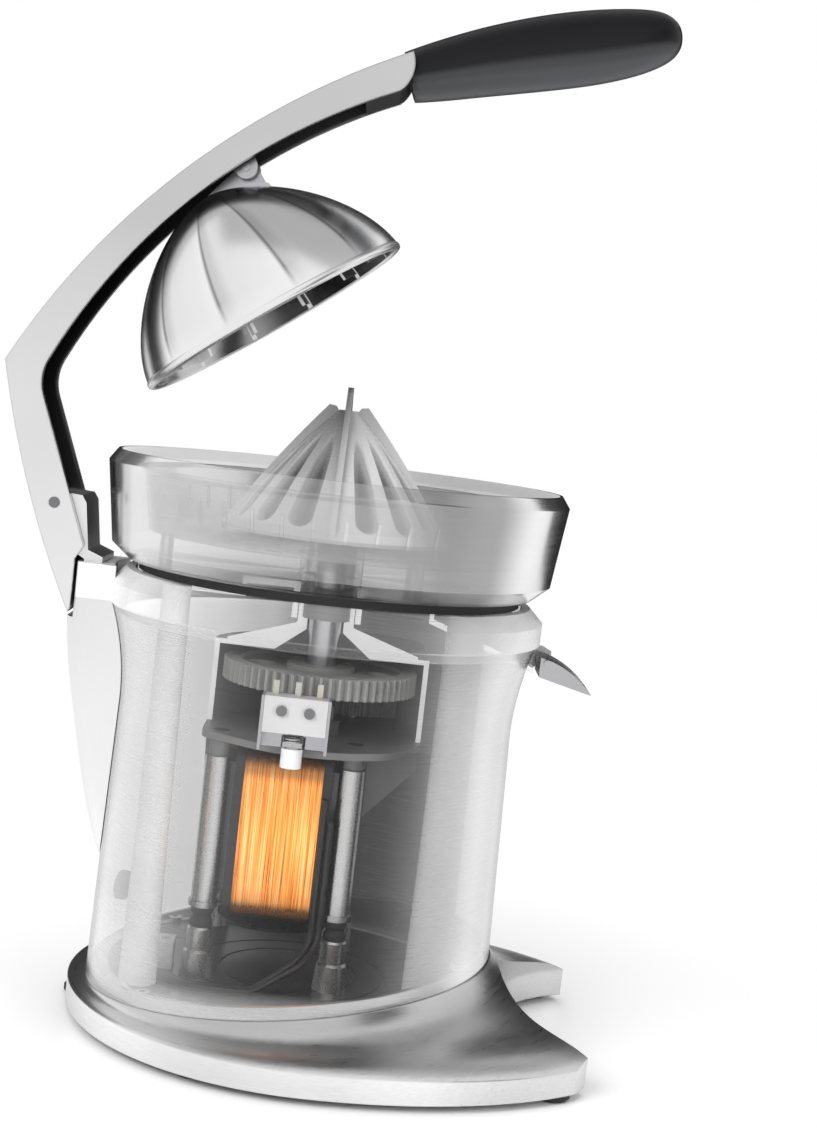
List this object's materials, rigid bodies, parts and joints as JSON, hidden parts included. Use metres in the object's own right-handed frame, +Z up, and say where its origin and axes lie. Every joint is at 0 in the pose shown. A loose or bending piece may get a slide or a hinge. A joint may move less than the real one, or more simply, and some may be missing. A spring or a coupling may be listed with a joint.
{
  "type": "lever citrus juice press",
  "caption": "Lever citrus press: steel body on a flared base, ribbed dome on a raised lever, finned cone over basket and bowl, geared motor under the deck.",
  "frame": {"origin": "on the surface that the press stands on, under the middle of its overall length; the upright axis of the round body, which is also the cone's, is at X = 6 mm", "axes": "+Z up, +X towards the juice spout and the grip's end, +Y to the side away from the switch"},
  "size_m": [0.2752, 0.216, 0.453],
  "materials": {
    "brushed_base": "brushed with a bright band",
    "body_steel": "fine circumferential brushing",
    "bowl_steel": "polished",
    "ring_white": "satin white",
    "deck_white": "satin",
    "cone_white": "gloss",
    "basket_steel": "polished",
    "lever_satin": "satin",
    "grip_black": "fine matt grain",
    "chrome": "polished",
    "plated_steel": "bright zinc plate",
    "spring_steel": "satin",
    "gear_light": "moulded",
    "gear_dark": "moulded",
    "bush_grey": "moulded",
    "case_white": "moulded",
    "switch_grey": "moulded",
    "terminal_metal": "tinned",
    "steel_core": "laminated",
    "copper_winding": "enamelled wire",
    "copper": "bare",
    "bobbin_black": "moulded",
    "rubber_black": "matt",
    "lead_black": "smooth insulation",
    "sleeve_metal": "bright",
    "floor_dark": "gloss",
    "inner_white": "moulded",
    "spout_grey": "satin"
  },
  "bodies": {
    "stand": {"base_skirt": "brushed_base", "bottom_cover": "bobbin_black", "rubber_feet": "rubber_black", "base_plate": "floor_dark", "base_screws": "plated_steel", "body_shell": "body_steel", "top_ring": "ring_white", "rear_spine": "body_steel", "deck": "deck_white", "juice_bowl": "bowl_steel", "bowl_gasket": "rubber_black", "filter_basket": "basket_steel", "hinge_bracket": "lever_satin", "arm_pin": "plated_steel", "arm_spring": "spring_steel", "spout_pin": "plated_steel", "spindle_bush": "bush_grey", "spindle_seal": "rubber_black", "press_spring": "spring_steel", "idler_axle": "plated_steel", "gearbox_case": "case_white", "gearbox_plate": "case_white", "gearbox_screws": "plated_steel", "stator_core": "steel_core", "shading_rings": "copper", "main_winding": "copper_winding", "coil_bobbin": "bobbin_black", "upper_bearing": "copper", "lower_bearing": "copper", "motor_cradle": "plated_steel", "sleeve_posts": "sleeve_metal", "post_grommets": "rubber_black", "mount_posts": "sleeve_metal", "switch_body": "switch_grey", "switch_terminals": "terminal_metal", "switch_bracket": "plated_steel", "switch_screws": "plated_steel", "motor_leads": "lead_black", "terminal_block": "ring_white", "support_column": "inner_white", "front_column": "inner_white", "cord_bush": "rubber_black"},
    "lever": {"lever_arm": "lever_satin", "grip": "grip_black", "dome_clevis": "lever_satin", "dome_pin": "plated_steel"},
    "dome": {"press_dome": "chrome", "dome_hanger": "lever_satin"},
    "press_carrier": {"thrust_cup": "bush_grey", "plunger_link": "plated_steel", "switch_plunger": "deck_white"},
    "cone_drive": {"drive_spindle": "plated_steel", "output_gear": "gear_light", "cone": "cone_white"},
    "idler": {"idler_gear": "gear_dark"},
    "rotor": {"rotor_core": "steel_core", "motor_shaft": "plated_steel", "motor_pinion": "plated_steel", "cooling_fan": "bobbin_black"},
    "spout_chute": {"spout": "spout_grey"}
  },
  "joints": [
    {"name": "lever_hinge", "type": "hinge", "parent": "stand", "child": "lever", "pos_m": [-0.1135, 0, 0.217], "axis": [0, 1, 0], "range_deg": [0, 36], "stiffness_Nm_per_rad": 1.6, "springref_deg": -68.75, "deforming": ["arm_spring"]},
    {"name": "dome_swivel", "type": "hinge", "parent": "lever", "child": "dome", "pos_m": [-0.04841, 0, 0.36712], "axis": [0, 1, 0], "range_deg": [-4, 0]},
    {"name": "cone_press", "type": "slide", "parent": "stand", "child": "press_carrier", "axis": [0, 0, -1], "range_m": [0, 0.002], "stiffness_N_per_m": 6000, "springref_m": -0.003, "deforming": ["press_spring"]},
    {"name": "cone_spin", "type": "hinge", "parent": "press_carrier", "child": "cone_drive", "pos_m": [0.006, 0, 0.2], "axis": [0, 0, 1], "continuous": true},
    {"name": "idler_spin", "type": "hinge", "parent": "stand", "child": "idler", "pos_m": [0.02208, 0.04668, 0.15], "axis": [0, 0, 1], "continuous": true},
    {"name": "motor_spin", "type": "hinge", "parent": "stand", "child": "rotor", "pos_m": [-0.0039, 0.0307, 0.09], "axis": [0, 0, 1], "continuous": true},
    {"name": "spout_tilt", "type": "hinge", "parent": "stand", "child": "spout_chute", "pos_m": [0.1035, 0, 0.171], "axis": [0, 1, 0], "range_deg": [-35, 0]}
  ],
  "couplings": [
    {"joint": "idler_spin", "follows": "cone_spin", "ratio": -5.0769},
    {"joint": "motor_spin", "follows": "cone_spin", "ratio": 23.077}
  ]
}
